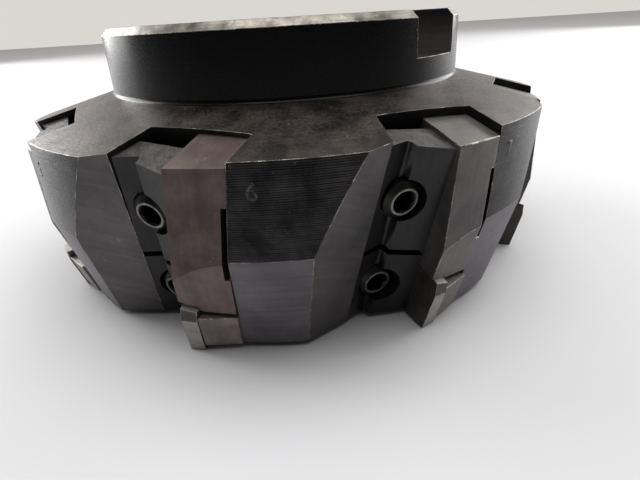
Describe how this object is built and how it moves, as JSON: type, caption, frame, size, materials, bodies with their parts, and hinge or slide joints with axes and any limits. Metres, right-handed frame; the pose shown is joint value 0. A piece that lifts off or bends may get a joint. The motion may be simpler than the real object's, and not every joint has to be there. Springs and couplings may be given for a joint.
{
  "type": "face mill",
  "caption": "Face mill with a stepped hub, bore and driving slots; inserts on seats and cassettes are held in tilted pockets by screw-drawn wedges.",
  "frame": {"origin": "on the spindle axis, level with the insert tips", "axes": "+Z along the spindle axis toward the hub face; the cutter turns clockwise seen from the hub; station 1 stands 24.2 degrees from -Y toward -X"},
  "size_m": [0.132, 0.132, 0.0605],
  "materials": {
    "body_steel": "blackened, worn bright at the edges",
    "cassette_steel": "ground and blackened, satin",
    "cassette_steel_brown": "ground, brown oxide, satin",
    "seat_steel": "ground, oxidised, satin",
    "wedge_steel": "blued, satin",
    "screw_steel": "black oxide",
    "insert_carbide": "ground cemented carbide"
  },
  "bodies": {
    "cutter": {"cutter_body": "body_steel", "insert_seat_1": "seat_steel", "insert_seat_2": "seat_steel", "insert_seat_3": "seat_steel", "insert_seat_4": "seat_steel", "insert_seat_5": "seat_steel", "insert_seat_6": "seat_steel", "insert_seat_7": "seat_steel", "insert_seat_8": "seat_steel"},
    "cassette_set_1": {"cassette_1": "cassette_steel_brown", "insert_1": "insert_carbide"},
    "cassette_wedge_unit_1": {"cassette_wedge_1": "wedge_steel"},
    "cassette_wedge_screw_unit_1": {"cassette_wedge_screw_1": "screw_steel"},
    "insert_wedge_unit_1": {"insert_wedge_1": "wedge_steel"},
    "insert_wedge_screw_unit_1": {"insert_wedge_screw_1": "screw_steel"},
    "cassette_set_2": {"cassette_2": "cassette_steel", "insert_2": "insert_carbide"},
    "cassette_wedge_unit_2": {"cassette_wedge_2": "wedge_steel"},
    "cassette_wedge_screw_unit_2": {"cassette_wedge_screw_2": "screw_steel"},
    "insert_wedge_unit_2": {"insert_wedge_2": "wedge_steel"},
    "insert_wedge_screw_unit_2": {"insert_wedge_screw_2": "screw_steel"},
    "cassette_set_3": {"cassette_3": "cassette_steel", "insert_3": "insert_carbide"},
    "cassette_wedge_unit_3": {"cassette_wedge_3": "wedge_steel"},
    "cassette_wedge_screw_unit_3": {"cassette_wedge_screw_3": "screw_steel"},
    "insert_wedge_unit_3": {"insert_wedge_3": "wedge_steel"},
    "insert_wedge_screw_unit_3": {"insert_wedge_screw_3": "screw_steel"},
    "cassette_set_4": {"cassette_4": "cassette_steel", "insert_4": "insert_carbide"},
    "cassette_wedge_unit_4": {"cassette_wedge_4": "wedge_steel"},
    "cassette_wedge_screw_unit_4": {"cassette_wedge_screw_4": "screw_steel"},
    "insert_wedge_unit_4": {"insert_wedge_4": "wedge_steel"},
    "insert_wedge_screw_unit_4": {"insert_wedge_screw_4": "screw_steel"},
    "cassette_set_5": {"cassette_5": "cassette_steel", "insert_5": "insert_carbide"},
    "cassette_wedge_unit_5": {"cassette_wedge_5": "wedge_steel"},
    "cassette_wedge_screw_unit_5": {"cassette_wedge_screw_5": "screw_steel"},
    "insert_wedge_unit_5": {"insert_wedge_5": "wedge_steel"},
    "insert_wedge_screw_unit_5": {"insert_wedge_screw_5": "screw_steel"},
    "cassette_set_6": {"cassette_6": "cassette_steel", "insert_6": "insert_carbide"},
    "cassette_wedge_unit_6": {"cassette_wedge_6": "wedge_steel"},
    "cassette_wedge_screw_unit_6": {"cassette_wedge_screw_6": "screw_steel"},
    "insert_wedge_unit_6": {"insert_wedge_6": "wedge_steel"},
    "insert_wedge_screw_unit_6": {"insert_wedge_screw_6": "screw_steel"},
    "cassette_set_7": {"cassette_7": "cassette_steel", "insert_7": "insert_carbide"},
    "cassette_wedge_unit_7": {"cassette_wedge_7": "wedge_steel"},
    "cassette_wedge_screw_unit_7": {"cassette_wedge_screw_7": "screw_steel"},
    "insert_wedge_unit_7": {"insert_wedge_7": "wedge_steel"},
    "insert_wedge_screw_unit_7": {"insert_wedge_screw_7": "screw_steel"},
    "cassette_set_8": {"cassette_8": "cassette_steel", "insert_8": "insert_carbide"},
    "cassette_wedge_unit_8": {"cassette_wedge_8": "wedge_steel"},
    "cassette_wedge_screw_unit_8": {"cassette_wedge_screw_8": "screw_steel"},
    "insert_wedge_unit_8": {"insert_wedge_8": "wedge_steel"},
    "insert_wedge_screw_unit_8": {"insert_wedge_screw_8": "screw_steel"}
  },
  "joints": [
    {"name": "cassette_adjust_1", "type": "slide", "parent": "cutter", "child": "cassette_set_1", "axis": [0.0012, -0.2769, 0.9609], "range_m": [-0.00025, 0.00025]},
    {"name": "cassette_wedge_slide_1", "type": "slide", "parent": "cutter", "child": "cassette_wedge_unit_1", "axis": [-0.4239, -0.8704, -0.2503], "range_m": [0, 0.0025]},
    {"name": "cassette_wedge_screw_turn_1", "type": "hinge", "parent": "cassette_wedge_unit_1", "child": "cassette_wedge_screw_unit_1", "pos_m": [-0.02764, -0.05484, 0.0287], "axis": [-0.4239, -0.8704, -0.2503], "range_deg": [0, 720]},
    {"name": "insert_wedge_slide_1", "type": "slide", "parent": "cutter", "child": "insert_wedge_unit_1", "axis": [-0.4239, -0.8704, -0.2503], "range_m": [0, 0.0025]},
    {"name": "insert_wedge_screw_turn_1", "type": "hinge", "parent": "insert_wedge_unit_1", "child": "insert_wedge_screw_unit_1", "pos_m": [-0.02732, -0.04852, 0.00939], "axis": [-0.4239, -0.8704, -0.2503], "range_deg": [0, 720]},
    {"name": "cassette_adjust_2", "type": "slide", "parent": "cutter", "child": "cassette_set_2", "axis": [0.1966, -0.195, 0.9609], "range_m": [-0.00025, 0.00025]},
    {"name": "cassette_wedge_slide_2", "type": "slide", "parent": "cutter", "child": "cassette_wedge_unit_2", "axis": [0.3157, -0.9152, -0.2503], "range_m": [0, 0.0025]},
    {"name": "cassette_wedge_screw_turn_2", "type": "hinge", "parent": "cassette_wedge_unit_2", "child": "cassette_wedge_screw_unit_2", "pos_m": [0.01923, -0.05832, 0.0287], "axis": [0.3157, -0.9152, -0.2503], "range_deg": [0, 720]},
    {"name": "insert_wedge_slide_2", "type": "slide", "parent": "cutter", "child": "insert_wedge_unit_2", "axis": [0.3157, -0.9152, -0.2503], "range_m": [0, 0.0025]},
    {"name": "insert_wedge_screw_turn_2", "type": "hinge", "parent": "insert_wedge_unit_2", "child": "insert_wedge_screw_unit_2", "pos_m": [0.01499, -0.05363, 0.00939], "axis": [0.3157, -0.9152, -0.2503], "range_deg": [0, 720]},
    {"name": "cassette_adjust_3", "type": "slide", "parent": "cutter", "child": "cassette_set_3", "axis": [0.2769, 0.0012, 0.9609], "range_m": [-0.00025, 0.00025]},
    {"name": "cassette_wedge_slide_3", "type": "slide", "parent": "cutter", "child": "cassette_wedge_unit_3", "axis": [0.8704, -0.4239, -0.2503], "range_m": [0, 0.0025]},
    {"name": "cassette_wedge_screw_turn_3", "type": "hinge", "parent": "cassette_wedge_unit_3", "child": "cassette_wedge_screw_unit_3", "pos_m": [0.05484, -0.02764, 0.0287], "axis": [0.8704, -0.4239, -0.2503], "range_deg": [0, 720]},
    {"name": "insert_wedge_slide_3", "type": "slide", "parent": "cutter", "child": "insert_wedge_unit_3", "axis": [0.8704, -0.4239, -0.2503], "range_m": [0, 0.0025]},
    {"name": "insert_wedge_screw_turn_3", "type": "hinge", "parent": "insert_wedge_unit_3", "child": "insert_wedge_screw_unit_3", "pos_m": [0.04852, -0.02732, 0.00939], "axis": [0.8704, -0.4239, -0.2503], "range_deg": [0, 720]},
    {"name": "cassette_adjust_4", "type": "slide", "parent": "cutter", "child": "cassette_set_4", "axis": [0.195, 0.1966, 0.9609], "range_m": [-0.00025, 0.00025]},
    {"name": "cassette_wedge_slide_4", "type": "slide", "parent": "cutter", "child": "cassette_wedge_unit_4", "axis": [0.9152, 0.3157, -0.2503], "range_m": [0, 0.0025]},
    {"name": "cassette_wedge_screw_turn_4", "type": "hinge", "parent": "cassette_wedge_unit_4", "child": "cassette_wedge_screw_unit_4", "pos_m": [0.05832, 0.01923, 0.0287], "axis": [0.9152, 0.3157, -0.2503], "range_deg": [0, 720]},
    {"name": "insert_wedge_slide_4", "type": "slide", "parent": "cutter", "child": "insert_wedge_unit_4", "axis": [0.9152, 0.3157, -0.2503], "range_m": [0, 0.0025]},
    {"name": "insert_wedge_screw_turn_4", "type": "hinge", "parent": "insert_wedge_unit_4", "child": "insert_wedge_screw_unit_4", "pos_m": [0.05363, 0.01499, 0.00939], "axis": [0.9152, 0.3157, -0.2503], "range_deg": [0, 720]},
    {"name": "cassette_adjust_5", "type": "slide", "parent": "cutter", "child": "cassette_set_5", "axis": [-0.0012, 0.2769, 0.9609], "range_m": [-0.00025, 0.00025]},
    {"name": "cassette_wedge_slide_5", "type": "slide", "parent": "cutter", "child": "cassette_wedge_unit_5", "axis": [0.4239, 0.8704, -0.2503], "range_m": [0, 0.0025]},
    {"name": "cassette_wedge_screw_turn_5", "type": "hinge", "parent": "cassette_wedge_unit_5", "child": "cassette_wedge_screw_unit_5", "pos_m": [0.02764, 0.05484, 0.0287], "axis": [0.4239, 0.8704, -0.2503], "range_deg": [0, 720]},
    {"name": "insert_wedge_slide_5", "type": "slide", "parent": "cutter", "child": "insert_wedge_unit_5", "axis": [0.4239, 0.8704, -0.2503], "range_m": [0, 0.0025]},
    {"name": "insert_wedge_screw_turn_5", "type": "hinge", "parent": "insert_wedge_unit_5", "child": "insert_wedge_screw_unit_5", "pos_m": [0.02732, 0.04852, 0.00939], "axis": [0.4239, 0.8704, -0.2503], "range_deg": [0, 720]},
    {"name": "cassette_adjust_6", "type": "slide", "parent": "cutter", "child": "cassette_set_6", "axis": [-0.1966, 0.195, 0.9609], "range_m": [-0.00025, 0.00025]},
    {"name": "cassette_wedge_slide_6", "type": "slide", "parent": "cutter", "child": "cassette_wedge_unit_6", "axis": [-0.3157, 0.9152, -0.2503], "range_m": [0, 0.0025]},
    {"name": "cassette_wedge_screw_turn_6", "type": "hinge", "parent": "cassette_wedge_unit_6", "child": "cassette_wedge_screw_unit_6", "pos_m": [-0.01923, 0.05832, 0.0287], "axis": [-0.3157, 0.9152, -0.2503], "range_deg": [0, 720]},
    {"name": "insert_wedge_slide_6", "type": "slide", "parent": "cutter", "child": "insert_wedge_unit_6", "axis": [-0.3157, 0.9152, -0.2503], "range_m": [0, 0.0025]},
    {"name": "insert_wedge_screw_turn_6", "type": "hinge", "parent": "insert_wedge_unit_6", "child": "insert_wedge_screw_unit_6", "pos_m": [-0.01499, 0.05363, 0.00939], "axis": [-0.3157, 0.9152, -0.2503], "range_deg": [0, 720]},
    {"name": "cassette_adjust_7", "type": "slide", "parent": "cutter", "child": "cassette_set_7", "axis": [-0.2769, -0.0012, 0.9609], "range_m": [-0.00025, 0.00025]},
    {"name": "cassette_wedge_slide_7", "type": "slide", "parent": "cutter", "child": "cassette_wedge_unit_7", "axis": [-0.8704, 0.4239, -0.2503], "range_m": [0, 0.0025]},
    {"name": "cassette_wedge_screw_turn_7", "type": "hinge", "parent": "cassette_wedge_unit_7", "child": "cassette_wedge_screw_unit_7", "pos_m": [-0.05484, 0.02764, 0.0287], "axis": [-0.8704, 0.4239, -0.2503], "range_deg": [0, 720]},
    {"name": "insert_wedge_slide_7", "type": "slide", "parent": "cutter", "child": "insert_wedge_unit_7", "axis": [-0.8704, 0.4239, -0.2503], "range_m": [0, 0.0025]},
    {"name": "insert_wedge_screw_turn_7", "type": "hinge", "parent": "insert_wedge_unit_7", "child": "insert_wedge_screw_unit_7", "pos_m": [-0.04852, 0.02732, 0.00939], "axis": [-0.8704, 0.4239, -0.2503], "range_deg": [0, 720]},
    {"name": "cassette_adjust_8", "type": "slide", "parent": "cutter", "child": "cassette_set_8", "axis": [-0.195, -0.1966, 0.9609], "range_m": [-0.00025, 0.00025]},
    {"name": "cassette_wedge_slide_8", "type": "slide", "parent": "cutter", "child": "cassette_wedge_unit_8", "axis": [-0.9152, -0.3157, -0.2503], "range_m": [0, 0.0025]},
    {"name": "cassette_wedge_screw_turn_8", "type": "hinge", "parent": "cassette_wedge_unit_8", "child": "cassette_wedge_screw_unit_8", "pos_m": [-0.05832, -0.01923, 0.0287], "axis": [-0.9152, -0.3157, -0.2503], "range_deg": [0, 720]},
    {"name": "insert_wedge_slide_8", "type": "slide", "parent": "cutter", "child": "insert_wedge_unit_8", "axis": [-0.9152, -0.3157, -0.2503], "range_m": [0, 0.0025]},
    {"name": "insert_wedge_screw_turn_8", "type": "hinge", "parent": "insert_wedge_unit_8", "child": "insert_wedge_screw_unit_8", "pos_m": [-0.05363, -0.01499, 0.00939], "axis": [-0.9152, -0.3157, -0.2503], "range_deg": [0, 720]}
  ],
  "couplings": [
    {"joint": "cassette_wedge_screw_turn_1", "follows": "cassette_wedge_slide_1", "rad_per_m": 5026.5},
    {"joint": "insert_wedge_screw_turn_1", "follows": "insert_wedge_slide_1", "rad_per_m": 5026.5},
    {"joint": "cassette_wedge_screw_turn_2", "follows": "cassette_wedge_slide_2", "rad_per_m": 5026.5},
    {"joint": "insert_wedge_screw_turn_2", "follows": "insert_wedge_slide_2", "rad_per_m": 5026.5},
    {"joint": "cassette_wedge_screw_turn_3", "follows": "cassette_wedge_slide_3", "rad_per_m": 5026.5},
    {"joint": "insert_wedge_screw_turn_3", "follows": "insert_wedge_slide_3", "rad_per_m": 5026.5},
    {"joint": "cassette_wedge_screw_turn_4", "follows": "cassette_wedge_slide_4", "rad_per_m": 5026.5},
    {"joint": "insert_wedge_screw_turn_4", "follows": "insert_wedge_slide_4", "rad_per_m": 5026.5},
    {"joint": "cassette_wedge_screw_turn_5", "follows": "cassette_wedge_slide_5", "rad_per_m": 5026.5},
    {"joint": "insert_wedge_screw_turn_5", "follows": "insert_wedge_slide_5", "rad_per_m": 5026.5},
    {"joint": "cassette_wedge_screw_turn_6", "follows": "cassette_wedge_slide_6", "rad_per_m": 5026.5},
    {"joint": "insert_wedge_screw_turn_6", "follows": "insert_wedge_slide_6", "rad_per_m": 5026.5},
    {"joint": "cassette_wedge_screw_turn_7", "follows": "cassette_wedge_slide_7", "rad_per_m": 5026.5},
    {"joint": "insert_wedge_screw_turn_7", "follows": "insert_wedge_slide_7", "rad_per_m": 5026.5},
    {"joint": "cassette_wedge_screw_turn_8", "follows": "cassette_wedge_slide_8", "rad_per_m": 5026.5},
    {"joint": "insert_wedge_screw_turn_8", "follows": "insert_wedge_slide_8", "rad_per_m": 5026.5}
  ]
}
